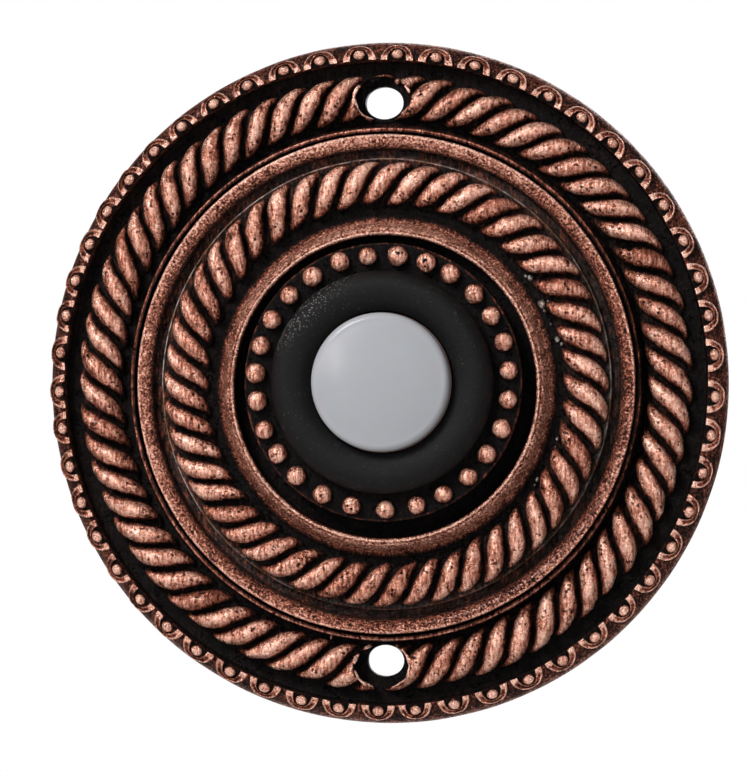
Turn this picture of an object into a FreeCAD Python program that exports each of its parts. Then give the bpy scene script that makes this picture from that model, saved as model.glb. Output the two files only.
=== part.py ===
import FreeCAD, Part
import math
import os

os.makedirs("parts", exist_ok=True)

# Doorbell push button on a round plate with carved ropes. All sizes are in millimetres.
# The plate hangs on a wall: +Z is up, +X is right and the front looks towards -Y.
# A height is the distance in front of the wall, so what lies in the wall has a negative one.
# A radius is measured from the plate's axis, an angle clockwise from the top, seen from the front.

# Plate, from its axis outwards: every ring has its own width
well_gap = 1.35
ring_edge_width = 0.25
ring_slope_width = 1.7
inner_floor_width = 1.1
inner_rope_half_width = 2.45
inner_rope_margin = 0.4
cove_width = 1.0
band_width = 1.65
rosette_clearance = 0.5
lip_width = 0.45
lip_margin = 0.6
outer_rope_half_width = 2.45
channel_width = 1.7
rim_round = 2.2

# Base plate, from the wall forwards
plate_thickness = 1.6
plate_edge_height = 1.2
back_recess_depth = 0.6
back_rim_width = 1.6
barrel_hole_clearance = 0.3
hub_land_width = 2.8
lip_rise = 1.4
rim_draft = 0.1

# Cups and beads on the quarter-round of the rim: each cup is a horseshoe that opens inwards
cup_count = 53
cup_first_angle = 3.64
cup_drift = 1.35
cup_drift_angle = 82.0
cup_half_width = 1.92
cup_reach = 1.8
cup_ridge_rise = 0.45
cup_mouth_half_width = 0.99
cup_mouth_reach = 1.35
cup_mouth_rise = 0.28
cup_setback = 0.05
cup_stations = 6
cup_bead_reach = 0.7
cup_bead_radius = 0.6
cup_bead_rise = 1.0
cup_bead_sides = 6

# Screw holes, above and below the centre
screw_inset = 0.55
screw_hole_radius = 2.1
screw_pocket_radius = 3.0
screw_boss_radius = 3.8

# Outer rope, on the base plate
outer_rope_rise = 2.6
outer_strand_count = 63
outer_strand_width = 2.5
outer_strand_sweep = 8.4
outer_strand_first_angle = 2.42
outer_strand_drift = 0.88
outer_strand_drift_angle = 139.0

# Rosette, from its seat forwards
rosette_height = 3.6
rosette_edge_chamfer = 0.3
band_drop = 0.7
band_crown_width = 0.75
band_crown_drop = 0.12
cove_depth = 0.6
rope_floor_height = 2.2
ring_edge_height = 4.7
well_floor = 2.0

# Inner rope, on the rosette
inner_rope_rise = 2.2
inner_strand_count = 47
inner_strand_width = 2.4
inner_strand_sweep = 10.2
inner_strand_first_angle = -0.3
inner_strand_drift = 1.54
inner_strand_drift_angle = 33.0

# Shape of one strand: how far it is laid round the rope, and its flanks
strand_turn = 78.0
strand_stations = 5
strand_crest_share = 0.42
strand_tip_share = 0.2
carving_root = 0.2

# Shape of one bead: an upright girdle, a shoulder and a flat top
bead_girdle_share = 0.35
bead_shoulder_share = 0.8
bead_shoulder_width_share = 0.72
bead_top_width_share = 0.3

# Bead bezel
bezel_thickness = 3.0
bezel_chamfer = 0.15
bezel_lip = 0.28
bezel_bead_count = 27
bezel_bead_first_angle = 6.26
bezel_bead_drift = 1.45
bezel_bead_drift_angle = 183.0
bezel_bead_radius = 1.07
bezel_bead_rise = 1.45
bezel_bead_gap = 0.68
bezel_bead_sides = 10

# Switch housing: collar, threaded barrel and inner web
collar_inner_run = 2.5
collar_outer_run = 1.9
collar_edge_rise = 0.9
collar_crest_rise = 2.8
collar_mouth_rise = 1.8
barrel_wall = 1.2
barrel_end_length = 3.6
web_thickness = 1.2

# Push button
cap_radius = 7.62
cap_gap = 0.28
cap_stand = 0.1
cap_shoulder_run = 0.8
cap_shoulder_rise = 0.85
cap_dome_rise = 0.85
cap_wall = 1.2
crown_drop = 0.3
skirt_reserve = 0.1
stem_radius = 2.0
stem_clearance = 0.1
button_travel = 1.4

# Return spring
spring_length = 5.2
spring_wire_radius = 0.25
spring_gap = 0.35
spring_turns = 4
spring_stations_per_turn = 16
spring_wire_sides = 6

# Contact disc and its screw
stop_gap = 0.05
disc_thickness = 0.5
disc_to_resistor = 0.4
disc_screw_radius = 0.6
disc_screw_length = 3.0
disc_screw_head_radius = 1.2
disc_screw_head_height = 0.9
thread_clearance = 0.05

# Contacts
contact_reserve = 0.1
rivet_edge_margin = 0.3
rivet_head_radius = 0.7
rivet_head_height = 0.35
rivet_shank_radius = 0.4
pad_margin = 0.2
leg_to_rivet = 0.6
strip_thickness = 0.4
strip_width = 2.4
strip_tab_width = 4.4
strip_tab_margin = 2.0

# Terminal base, on the rear of the barrel
base_thickness = 3.0
spigot_length = 1.2
moulding_clearance = 0.05

# Terminal screws and washers
terminal_to_leg = 2.7
terminal_screw_radius = 1.2
terminal_screw_length = 2.4
terminal_head_radius = 2.0
terminal_head_height = 1.4
terminal_slot_width = 0.6
terminal_slot_depth = 0.6
terminal_washer_radius = 2.4
terminal_washer_thickness = 0.5

# Lamp and resistor
lamp_radius = 1.0
lamp_height = 2.1
lamp_to_skirt = 0.42
lamp_flange_overhang = 0.25
lamp_flange_thickness = 0.4
lead_side = 0.4
lead_half_spacing = 0.6
lead_to_base = 1.2
resistor_radius = 0.7
resistor_length = 3.2
resistor_lead_stub = 1.2

# Washer and nut behind the plate
nut_wall = 2.9
nut_sides = 6
nut_thickness = 2.8
washer_width = 2.5
washer_thickness = 0.6

# Radii that follow, from the button outwards
bore_radius = cap_radius + cap_gap
barrel_radius = bore_radius + barrel_wall
barrel_hole_radius = barrel_radius + barrel_hole_clearance
collar_crest_radius = bore_radius + collar_inner_run
collar_radius = collar_crest_radius + collar_outer_run
bezel_bead_circle = collar_radius + bezel_bead_gap + bezel_bead_radius
bezel_radius = bezel_bead_circle + bezel_bead_radius + bezel_lip
well_radius = bezel_radius + well_gap
ring_edge_radius = well_radius + ring_edge_width
ring_foot_radius = ring_edge_radius + ring_slope_width
inner_rope_radius = ring_foot_radius + inner_floor_width + inner_rope_half_width
cove_inner_radius = inner_rope_radius + inner_rope_half_width + inner_rope_margin
band_inner_radius = cove_inner_radius + cove_width
rosette_radius = band_inner_radius + band_width
lip_inner_radius = rosette_radius + rosette_clearance
lip_radius = lip_inner_radius + lip_width
outer_rope_radius = lip_radius + lip_margin + outer_rope_half_width
rim_inner_radius = outer_rope_radius + outer_rope_half_width + channel_width
plate_radius = rim_inner_radius + rim_round
screw_offset = outer_rope_radius - screw_inset

# Heights that follow, from the wall forwards
rosette_seat = plate_thickness
bezel_seat = rosette_seat + well_floor
collar_seat = bezel_seat + bezel_thickness
collar_crest = collar_seat + collar_crest_rise
cap_side_height = collar_crest + cap_stand
crown_underside = cap_side_height - crown_drop
web_height = crown_underside - spring_length
web_underside = web_height - web_thickness
skirt_height = web_height + lamp_flange_thickness + skirt_reserve + button_travel
disc_front = web_underside - stop_gap
disc_rear = disc_front - disc_thickness
rivet_top = disc_rear - button_travel - contact_reserve
pad_front = rivet_top - rivet_head_height
pad_rear = pad_front - strip_thickness

# Heights behind the wall
nut_front = -washer_thickness
nut_rear = nut_front - nut_thickness
barrel_end = nut_rear - barrel_end_length
spigot_front = barrel_end + spigot_length
base_rear = barrel_end - base_thickness
tab_rear = base_rear - strip_thickness
terminal_seat = tab_rear - terminal_washer_thickness
lead_turn = spigot_front + lead_to_base

# Places inside the barrel, to the right or up from the axis
lamp_offset = cap_radius - cap_wall - lamp_to_skirt - lamp_radius
disc_radius = lamp_offset - resistor_radius - disc_to_resistor
rivet_offset = disc_radius - rivet_edge_margin - rivet_head_radius
pad_inner = rivet_offset - rivet_head_radius - pad_margin
leg_offset = rivet_offset + leg_to_rivet
leg_inner = leg_offset - strip_thickness / 2
leg_outer = leg_offset + strip_thickness / 2
terminal_offset = leg_offset + terminal_to_leg
spring_coil_radius = stem_radius + spring_gap + spring_wire_radius

CENTRE = FreeCAD.Vector(0, 0, 0)
FORWARD = FreeCAD.Vector(0, -1, 0)
FULL_TURN = 360.0
HALF_TURN = 180.0

# How far along both axes the middle of a quarter-round lies
ARC_MIDDLE = math.sqrt(0.5)


def place(x, z, height):
    """Point of the part from its distance right, up and in front of the wall."""
    return FreeCAD.Vector(x, -height, z)


def around(radius, angle, height):
    """Point at a radius and a clockwise angle from the top."""
    turn = math.radians(angle)
    return place(radius * math.sin(turn), radius * math.cos(turn), height)


def section(radius, height):
    """Point of a turned section, drawn to the right of the axis."""
    return place(radius, 0, height)


def outline_wire(steps):
    """Closed wire through sections; a step of two sections is an arc through the first."""
    points = [section(*step[-1]) for step in steps]
    edges = []
    for index, step in enumerate(steps):
        start = points[index - 1]
        end = points[index]
        if len(step) == 2:
            edges.append(Part.Arc(start, section(*step[0]), end).toShape())
        else:
            edges.append(Part.makeLine(start, end))
    return Part.Wire(edges)


def turned(steps):
    """Solid of revolution about the plate's axis."""
    face = Part.Face(outline_wire(steps))
    return face.revolve(CENTRE, FORWARD, FULL_TURN)


def straight(*corners):
    """Steps of an outline that is all straight lines."""
    return [[corner] for corner in corners]


def half_way_drop(run, drop):
    """How far an arc that starts level has fallen half-way along its run."""
    arc_radius = (run * run + drop * drop) / (2 * drop)
    return arc_radius - math.sqrt(arc_radius * arc_radius - run * run / 4)


def rod(radius, x, z, rear, front):
    """Round rod along the plate's axis, between two heights."""
    return Part.makeCylinder(radius, front - rear, place(x, z, rear), FORWARD)


def block(x_low, x_high, z_low, z_high, rear, front):
    """Block between two distances right, two distances up and two heights."""
    corner = place(x_low, z_low, front)
    return Part.makeBox(x_high - x_low, front - rear, z_high - z_low, corner)


def carved_angles(count, first_angle, drift, drift_angle):
    """Angles of a hand-laid pattern: even steps that drift to and fro once round the circle."""
    angles = []
    for index in range(count):
        even = first_angle + FULL_TURN * index / count
        angles.append(even + drift * math.sin(math.radians(even - drift_angle)))
    return angles


def facet_solid(rings):
    """Solid with flat faces through rings that have the same number of points."""
    faces = [Part.Face(Part.makePolygon(ring + ring[:1])) for ring in (rings[0], rings[-1])]
    for lower, upper in zip(rings, rings[1:]):
        for index in range(len(lower)):
            a = lower[index - 1]
            b = lower[index]
            c = upper[index]
            d = upper[index - 1]
            faces.append(Part.Face(Part.makePolygon([a, b, c, a])))
            faces.append(Part.Face(Part.makePolygon([a, c, d, a])))
    solid = Part.Solid(Part.Shell(faces))
    if solid.Volume < 0:
        solid.reverse()
    return solid


def strand(rope_radius, half_width, rise, floor, width, sweep, angle):
    """One strand of a rope: it wraps over a half-round core and crosses its crown at the angle."""
    rings = []
    for step in range(strand_stations + 1):
        turn = strand_turn * (2.0 * step / strand_stations - 1.0)
        across = math.sin(math.radians(turn))
        fullness = math.cos(math.radians(turn))
        centre_angle = math.radians(angle + sweep * turn / HALF_TURN)
        radius = rope_radius + half_width * across
        station_width = width * (strand_tip_share + (1.0 - strand_tip_share) * fullness)
        crest = station_width * strand_crest_share
        x = radius * math.sin(centre_angle)
        z = radius * math.cos(centre_angle)
        side_x = math.cos(centre_angle)
        side_z = -math.sin(centre_angle)
        ring = []
        root = floor - carving_root
        top = floor + rise * fullness
        for offset, height in ((-station_width, root), (-crest, top), (crest, top), (station_width, root)):
            ring.append(place(x + side_x * offset / 2, z + side_z * offset / 2, height))
        rings.append(ring)
    return facet_solid(rings)


def rope(rope_radius, half_width, rise, floor, width, sweep, angles):
    """All the strands of one rope ring."""
    return [strand(rope_radius, half_width, rise, floor, width, sweep, angle) for angle in angles]


def bead(circle_radius, angle, floor, radius, rise, sides):
    """Cast bead with a few flat facets."""
    centre = around(circle_radius, angle, 0)
    levels = ((-carving_root, 1.0),
              (rise * bead_girdle_share, 1.0),
              (rise * bead_shoulder_share, bead_shoulder_width_share),
              (rise, bead_top_width_share))
    rings = []
    for height, share in levels:
        ring = []
        for side in range(sides):
            turn = math.radians(FULL_TURN * side / sides)
            x = centre.x + radius * share * math.sin(turn)
            z = centre.z + radius * share * math.cos(turn)
            ring.append(place(x, z, floor + height))
        rings.append(ring)
    return facet_solid(rings)


def bead_circle(circle_radius, angles, floor, radius, rise, sides):
    """Beads round a circle."""
    return [bead(circle_radius, angle, floor, radius, rise, sides) for angle in angles]


def rim_height(reach, lift):
    """Height of the rim's quarter-round, or of a level above it, outwards from its inner edge."""
    level = rim_round + lift
    return plate_edge_height + math.sqrt(level * level - reach * reach)


def rim_cup(angle):
    """One cup of the rim: a horseshoe with a high outer ridge that falls towards its mouth."""
    profile = ((0.0, -carving_root), (0.0, cup_mouth_rise), (1.0, cup_ridge_rise), (1.0, -carving_root))
    rings = []
    for step in range(cup_stations + 1):
        turn = math.pi * (step / cup_stations - 0.5)
        ring = []
        for share, lift in profile:
            half_width = cup_mouth_half_width + share * (cup_half_width - cup_mouth_half_width)
            full_reach = cup_mouth_reach + share * (cup_reach - cup_mouth_reach)
            reach = cup_setback + (full_reach - cup_setback) * math.cos(turn)
            radius = rim_inner_radius + reach
            aside = math.degrees(half_width * math.sin(turn) / radius)
            ring.append(around(radius, angle + aside, rim_height(reach, lift)))
        rings.append(ring)
    return facet_solid(rings)


def rim_cups():
    """All the cups of the rim, each with its bead."""
    angles = carved_angles(cup_count, cup_first_angle, cup_drift, cup_drift_angle)
    bead_floor = rim_height(cup_bead_reach + cup_bead_radius, 0)
    beads = bead_circle(rim_inner_radius + cup_bead_reach, angles, bead_floor, cup_bead_radius,
                        cup_bead_rise, cup_bead_sides)
    return [rim_cup(angle) for angle in angles] + beads


def base_plate():
    """Cast plate: cup rim, channel, outer rope, lip and the seat of the rosette."""
    rim_bend = (rim_inner_radius + ARC_MIDDLE * rim_round, plate_edge_height + ARC_MIDDLE * rim_round)
    back_radius = plate_radius - back_rim_width
    land_radius = barrel_hole_radius + hub_land_width
    edge = straight((plate_radius, 0), (plate_radius, plate_edge_height))
    quarter_round = [[rim_bend, (rim_inner_radius, plate_edge_height + rim_round)]]
    face_and_back = straight(
        (rim_inner_radius - rim_draft, plate_thickness),
        (lip_radius, plate_thickness),
        (lip_radius, plate_thickness + lip_rise),
        (lip_inner_radius, plate_thickness + lip_rise),
        (lip_inner_radius, plate_thickness),
        (barrel_hole_radius, plate_thickness),
        (barrel_hole_radius, 0),
        (land_radius, 0),
        (land_radius, back_recess_depth),
        (back_radius, back_recess_depth),
        (back_radius, 0))
    body = turned(edge + quarter_round + face_and_back)
    carving = rim_cups()
    strand_angles = carved_angles(outer_strand_count, outer_strand_first_angle, outer_strand_drift,
                                  outer_strand_drift_angle)
    carving += rope(outer_rope_radius, outer_rope_half_width, outer_rope_rise, plate_thickness,
                    outer_strand_width, outer_strand_sweep, strand_angles)
    screws = (-screw_offset, screw_offset)
    carving += [rod(screw_boss_radius, 0, z, 0, plate_thickness) for z in screws]
    body = body.fuse(carving)
    pocket_top = plate_thickness + outer_rope_rise + carving_root
    for z in screws:
        body = body.cut(rod(screw_pocket_radius, 0, z, plate_thickness, pocket_top))
        body = body.cut(rod(screw_hole_radius, 0, z, -carving_root, pocket_top))
    return body


def rosette():
    """Second casting: crowned band, cove, inner rope, inner ring and the well of the bezel."""
    top = rosette_seat + rosette_height
    rope_floor = rosette_seat + rope_floor_height
    body = turned(straight(
        (rosette_radius, rosette_seat),
        (rosette_radius, top - rosette_edge_chamfer),
        (rosette_radius - rosette_edge_chamfer, top),
        (rosette_radius - rosette_edge_chamfer - band_crown_width, top - band_crown_drop),
        (band_inner_radius, top - band_drop),
        (band_inner_radius, rope_floor - cove_depth),
        (cove_inner_radius, rope_floor - cove_depth),
        (cove_inner_radius, rope_floor),
        (ring_foot_radius, rope_floor),
        (ring_edge_radius, rosette_seat + ring_edge_height),
        (well_radius, rosette_seat + ring_edge_height - (ring_edge_radius - well_radius)),
        (well_radius, bezel_seat),
        (barrel_hole_radius, bezel_seat),
        (barrel_hole_radius, rosette_seat)))
    strand_angles = carved_angles(inner_strand_count, inner_strand_first_angle, inner_strand_drift,
                                  inner_strand_drift_angle)
    return body.fuse(rope(inner_rope_radius, inner_rope_half_width, inner_rope_rise, rope_floor,
                          inner_strand_width, inner_strand_sweep, strand_angles))


def bead_bezel():
    """Ring of beads round the collar."""
    angles = carved_angles(bezel_bead_count, bezel_bead_first_angle, bezel_bead_drift,
                           bezel_bead_drift_angle)
    body = turned(straight(
        (bezel_radius, bezel_seat),
        (bezel_radius, collar_seat - bezel_chamfer),
        (bezel_radius - bezel_chamfer, collar_seat),
        (barrel_hole_radius, collar_seat),
        (barrel_hole_radius, bezel_seat)))
    return body.fuse(bead_circle(bezel_bead_circle, angles, collar_seat, bezel_bead_radius,
                                 bezel_bead_rise, bezel_bead_sides))


def switch_housing():
    """Moulded collar, barrel and inner web, with the hole for the lamp in the web."""
    mouth = collar_seat + collar_mouth_rise
    edge = collar_seat + collar_edge_rise
    outer_bend = (collar_crest_radius + ARC_MIDDLE * collar_outer_run,
                  edge + ARC_MIDDLE * (collar_crest - edge))
    inner_bend = ((collar_crest_radius + bore_radius) / 2,
                  collar_crest - half_way_drop(collar_inner_run, collar_crest - mouth))
    stem_hole_radius = stem_radius + stem_clearance
    body = turned([
        [(collar_radius, collar_seat)],
        [(collar_radius, edge)],
        [outer_bend, (collar_crest_radius, collar_crest)],
        [inner_bend, (bore_radius, mouth)],
        [(bore_radius, web_height)],
        [(stem_hole_radius, web_height)],
        [(stem_hole_radius, web_underside)],
        [(bore_radius, web_underside)],
        [(bore_radius, barrel_end)],
        [(barrel_radius, barrel_end)],
        [(barrel_radius, collar_seat)]])
    return body.cut(rod(lamp_radius + moulding_clearance, 0, lamp_offset, web_underside, web_height))


def push_button():
    """Domed cap with a skirt that slides in the bore and a stem that goes through the web."""
    shoulder = (cap_radius - cap_shoulder_run, cap_side_height + cap_shoulder_rise)
    shoulder_bend = (shoulder[0] + ARC_MIDDLE * cap_shoulder_run,
                     cap_side_height + ARC_MIDDLE * cap_shoulder_rise)
    cap_top = shoulder[1] + cap_dome_rise
    dome_bend = (shoulder[0] / 2, cap_top - half_way_drop(shoulder[0], cap_dome_rise))
    body = turned([
        [(0, disc_front)],
        [(stem_radius, disc_front)],
        [(stem_radius, crown_underside)],
        [(cap_radius - cap_wall, crown_underside)],
        [(cap_radius - cap_wall, skirt_height)],
        [(cap_radius, skirt_height)],
        [(cap_radius, cap_side_height)],
        [shoulder_bend, shoulder],
        [dome_bend, (0, cap_top)]])
    hole_depth = disc_screw_length - disc_thickness + thread_clearance
    hole_radius = disc_screw_radius + thread_clearance
    return body.cut(rod(hole_radius, 0, 0, disc_front, disc_front + hole_depth))


def return_spring():
    """Coil spring between the web and the cap, at its length when the button is out."""
    rise = spring_length - 2 * spring_wire_radius
    start = web_height + spring_wire_radius
    stations = spring_turns * spring_stations_per_turn
    rings = []
    for station in range(stations + 1):
        share = station / stations
        angle = FULL_TURN * spring_turns * share
        ring = []
        for side in range(spring_wire_sides):
            turn = math.radians(FULL_TURN * side / spring_wire_sides)
            radius = spring_coil_radius + spring_wire_radius * math.cos(turn)
            height = start + rise * share + spring_wire_radius * math.sin(turn)
            ring.append(around(radius, angle, height))
        rings.append(ring)
    return facet_solid(rings)


def contact_disc():
    """Disc that bridges the two contacts when the button is pressed."""
    disc = rod(disc_radius, 0, 0, disc_rear, disc_front)
    return disc.cut(rod(disc_screw_radius + thread_clearance, 0, 0, disc_rear, disc_front))


def disc_screw():
    """Small screw that holds the disc on the stem."""
    head = rod(disc_screw_head_radius, 0, 0, disc_rear - disc_screw_head_height, disc_rear)
    return head.fuse(rod(disc_screw_radius, 0, 0, disc_rear, disc_rear + disc_screw_length))


def contact_strip(side):
    """Strip bent from the contact pad down the leg to the terminal tab on the rear face."""
    half_width = strip_width / 2
    half_tab = strip_tab_width / 2
    tab_outer = terminal_offset + strip_tab_margin
    pad = block(pad_inner, leg_outer, -half_width, half_width, pad_rear, pad_front)
    leg = block(leg_inner, leg_outer, -half_width, half_width, tab_rear, pad_front)
    tab = block(leg_inner, tab_outer, -half_tab, half_tab, tab_rear, base_rear)
    strip = pad.fuse([leg, tab]).removeSplitter()
    strip = strip.cut(rod(rivet_shank_radius + thread_clearance, rivet_offset, 0, pad_rear, pad_front))
    strip = strip.cut(rod(terminal_screw_radius + thread_clearance, terminal_offset, 0, tab_rear, base_rear))
    return mirrored(strip, side)


def mirrored(shape, side):
    """The shape itself on the right side, its mirror image on the left."""
    if side > 0:
        return shape
    return shape.mirror(CENTRE, FreeCAD.Vector(1, 0, 0))


def contact_rivet(side):
    """Rivet whose head meets the disc."""
    head = rod(rivet_head_radius, rivet_offset, 0, pad_front, rivet_top)
    shank = rod(rivet_shank_radius, rivet_offset, 0, pad_rear, pad_front)
    return mirrored(head.fuse(shank), side)


def terminal_base():
    """Moulded disc on the rear of the barrel, with slots for the strips and screw holes."""
    spigot_radius = bore_radius - moulding_clearance
    body = turned(straight(
        (0, base_rear),
        (barrel_radius, base_rear),
        (barrel_radius, barrel_end),
        (spigot_radius, barrel_end),
        (spigot_radius, spigot_front),
        (0, spigot_front)))
    half_slot = strip_thickness / 2 + moulding_clearance
    half_width = strip_width / 2 + moulding_clearance
    hole_radius = terminal_screw_radius + thread_clearance
    hole_top = base_rear + terminal_screw_length
    for side in (-1, 1):
        leg = side * leg_offset
        body = body.cut(block(leg - half_slot, leg + half_slot, -half_width, half_width,
                              base_rear, spigot_front))
        body = body.cut(rod(hole_radius, side * terminal_offset, 0, base_rear, hole_top))
    return body


def terminal_washer(side):
    """Washer that clamps a bell wire on the tab."""
    hole_radius = terminal_screw_radius + thread_clearance
    ring = rod(terminal_washer_radius, terminal_offset, 0, terminal_seat, tab_rear)
    ring = ring.cut(rod(hole_radius, terminal_offset, 0, terminal_seat, tab_rear))
    return mirrored(ring, side)


def terminal_screw(side):
    """Slotted screw of one terminal."""
    tip = base_rear + terminal_screw_length - moulding_clearance
    head_rear = terminal_seat - terminal_head_height
    screw = rod(terminal_head_radius, terminal_offset, 0, head_rear, terminal_seat)
    screw = screw.fuse(rod(terminal_screw_radius, terminal_offset, 0, terminal_seat, tip))
    half_slot = terminal_slot_width / 2
    slot = block(terminal_offset - terminal_head_radius, terminal_offset + terminal_head_radius,
                 -half_slot, half_slot, head_rear, head_rear + terminal_slot_depth)
    return mirrored(screw.cut(slot), side)


def lead_route(side, start):
    """Square lead from a start height down, across and along to the edge of its strip."""
    half = lead_side / 2
    near = lead_half_spacing
    down = block(near - half, near + half, lamp_offset - half, lamp_offset + half,
                 lead_turn - half, start)
    across = block(near - half, leg_offset + half, lamp_offset - half, lamp_offset + half,
                   lead_turn - half, lead_turn + half)
    back = block(leg_offset - half, leg_offset + half, strip_width / 2, lamp_offset + half,
                 lead_turn - half, lead_turn + half)
    return mirrored(down.fuse([across, back]).removeSplitter(), side)


def lamp():
    """Light-emitting diode in the web: lens, flange, short left lead and long right lead."""
    tip_start = web_height + lamp_height - lamp_radius
    body = rod(lamp_radius, 0, lamp_offset, web_underside, tip_start)
    tip = Part.makeSphere(lamp_radius, place(0, lamp_offset, tip_start))
    flange = rod(lamp_radius + lamp_flange_overhang, 0, lamp_offset, web_height,
                 web_height + lamp_flange_thickness)
    half = lead_side / 2
    stub = block(-lead_half_spacing - half, -lead_half_spacing + half, lamp_offset - half,
                 lamp_offset + half, web_underside - resistor_lead_stub, web_underside)
    return body.fuse([tip, flange, stub, lead_route(1, web_underside)]).removeSplitter()


def lamp_resistor():
    """Series resistor on the left lead of the lamp."""
    front = web_underside - resistor_lead_stub
    rear = front - resistor_length
    body = rod(resistor_radius, -lead_half_spacing, lamp_offset, rear, front)
    return body.fuse(lead_route(-1, rear))


def lock_washer():
    """Washer between the nut and the plate."""
    ring = rod(barrel_radius + washer_width, 0, 0, nut_front, 0)
    return ring.cut(rod(barrel_radius + thread_clearance, 0, 0, nut_front, 0))


def retaining_nut():
    """Hexagon nut that clamps the stack from behind."""
    corner_radius = (barrel_radius + nut_wall) / math.cos(math.pi / nut_sides)
    corners = [around(corner_radius, FULL_TURN * index / nut_sides, nut_rear) for index in range(nut_sides)]
    hexagon = Part.Face(Part.makePolygon(corners + corners[:1])).extrude(FORWARD * nut_thickness)
    return hexagon.cut(rod(barrel_radius + thread_clearance, 0, 0, nut_rear, nut_front))


PIECES = {
    "base_plate": base_plate(),
    "rosette": rosette(),
    "bead_bezel": bead_bezel(),
    "switch_housing": switch_housing(),
    "push_button": push_button(),
    "return_spring": return_spring(),
    "contact_disc": contact_disc(),
    "disc_screw": disc_screw(),
    "contact_strip_left": contact_strip(-1),
    "contact_strip_right": contact_strip(1),
    "contact_rivet_left": contact_rivet(-1),
    "contact_rivet_right": contact_rivet(1),
    "terminal_base": terminal_base(),
    "terminal_washer_left": terminal_washer(-1),
    "terminal_washer_right": terminal_washer(1),
    "terminal_screw_left": terminal_screw(-1),
    "terminal_screw_right": terminal_screw(1),
    "lamp": lamp(),
    "lamp_resistor": lamp_resistor(),
    "lock_washer": lock_washer(),
    "retaining_nut": retaining_nut(),
}

for name, shape in PIECES.items():
    shape.exportStep("parts/" + name + ".step")
    print(name, len(shape.Solids), shape.isValid(), round(shape.Volume, 3))
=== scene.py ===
import math

import bmesh
import bpy
import numpy as np
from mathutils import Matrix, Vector, noise


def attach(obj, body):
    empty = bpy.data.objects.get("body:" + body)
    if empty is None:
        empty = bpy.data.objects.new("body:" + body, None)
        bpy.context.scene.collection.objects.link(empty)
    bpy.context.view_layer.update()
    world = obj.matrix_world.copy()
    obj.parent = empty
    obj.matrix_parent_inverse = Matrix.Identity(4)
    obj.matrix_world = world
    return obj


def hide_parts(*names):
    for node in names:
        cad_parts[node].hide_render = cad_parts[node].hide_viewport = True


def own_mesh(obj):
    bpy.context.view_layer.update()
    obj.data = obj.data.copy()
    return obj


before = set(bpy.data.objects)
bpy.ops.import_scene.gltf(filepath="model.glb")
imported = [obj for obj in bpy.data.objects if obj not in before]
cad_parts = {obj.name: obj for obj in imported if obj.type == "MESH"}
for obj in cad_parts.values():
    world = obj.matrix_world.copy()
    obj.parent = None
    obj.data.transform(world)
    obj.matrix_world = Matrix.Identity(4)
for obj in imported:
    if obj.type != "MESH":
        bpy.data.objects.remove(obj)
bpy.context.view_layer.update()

# Lengths are in millimetres and become metres in mesh_from(). As in the frame, the front looks
# towards -Y, so a height is the distance in front of the wall. Angles run clockwise from the top,
# seen from the front.
MM = 0.001
FULL_TURN = 2 * math.pi

# Heights of the seats
FLOOR = 1.6
ROPE_FLOOR = 3.8
BEZEL_SEAT = 3.6
COLLAR_SEAT = 6.6

# Radii of the rings, from the rim inwards
PLATE_RADIUS = 38.1
RIM_INNER = 35.9
OUTER_ROPE = 31.84
LIP_OUTER = 28.7
LIP_INNER = 28.25
ROSETTE_RADIUS = 27.75
BAND_INNER = 26.1
COVE_INNER = 25.1
INNER_ROPE = 22.3
RING_FOOT = 18.7
RING_EDGE = 17.0
WELL_RADIUS = 16.8
BEZEL_RADIUS = 15.4
BEAD_CIRCLE = 14.05
COLLAR_RADIUS = 12.3
COLLAR_CREST = 10.4
BARREL_HOLE = 9.4
BARREL_RADIUS = 9.1
BORE_RADIUS = 7.9
CAP_RADIUS = 7.62

# Quarter-round of the rim, with its horseshoe cups and their beads. A cup's section runs outwards
# from its mouth as (share of the way, share of the rise).
RIM_ROUND = 2.2
RIM_SPRING_HEIGHT = 1.2
CUP_HALF_WIDTH = 1.84
CUP_REACH = 1.72
CUP_SIDE_REACH = 0.16
CUP_RISE = 0.42
CUP_MOUTH_HALF_WIDTH = 1.0
CUP_MOUTH_REACH = 1.34
CUP_SETBACK = 0.05
CUP_BEAD_REACH = 0.70
CUP_BEAD_HALF_WIDTH = 0.70
CUP_BEAD_HALF_REACH = 0.57
CUP_BEAD_RISE = 0.85
CUP_ROWS = 27
CUP_PROFILE = ((-1.05, -0.5), (-1.05, 0.12), (-0.5, 0.12), (0.0, 0.12), (0.04, 0.45), (0.12, 0.75),
               (0.24, 0.58), (0.40, 0.42), (0.58, 0.42), (0.70, 0.58), (0.79, 0.88), (0.87, 1.0),
               (0.94, 0.86), (1.0, 0.4), (1.0, -0.5))

# Ropes: half width, rise, depth of the grooves, and how far round a strand runs from edge to edge
OUTER_ROPE_HALF_WIDTH = 2.55
OUTER_ROPE_RISE = 2.6
OUTER_ROPE_GROOVE = 1.9
OUTER_ROPE_SWEEP = math.radians(9.0)
INNER_ROPE_HALF_WIDTH = 2.5
INNER_ROPE_RISE = 2.25
INNER_ROPE_GROOVE = 1.7
INNER_ROPE_SWEEP = math.radians(10.6)
ROPE_ROWS = 27
ROPE_ROOT = 0.35

# A strand across its width, from the groove before it up to the groove after it
STRAND_SHARES = np.array((-0.5, -0.47, -0.43, -0.37, -0.29, -0.20, -0.10,
                          0.0, 0.10, 0.20, 0.29, 0.37, 0.43, 0.47))

# Lip round the rosette, and the plate's edges behind
LIP_RISE = 1.4
RECESS_DEPTH = 0.6
RECESS_INNER = 12.2
RECESS_OUTER = 36.5
FILLET = 0.16

# How far forms sit off their places: to the right and up
OUTER_ROPE_SHIFT = (-0.28, 0.02)
ROSETTE_SHIFT = np.array((0.06, -0.17))
RING_SHIFT = (0.10, -0.35)
CAP_FLANGE_SHIFT = (0.05, -0.04)

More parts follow.
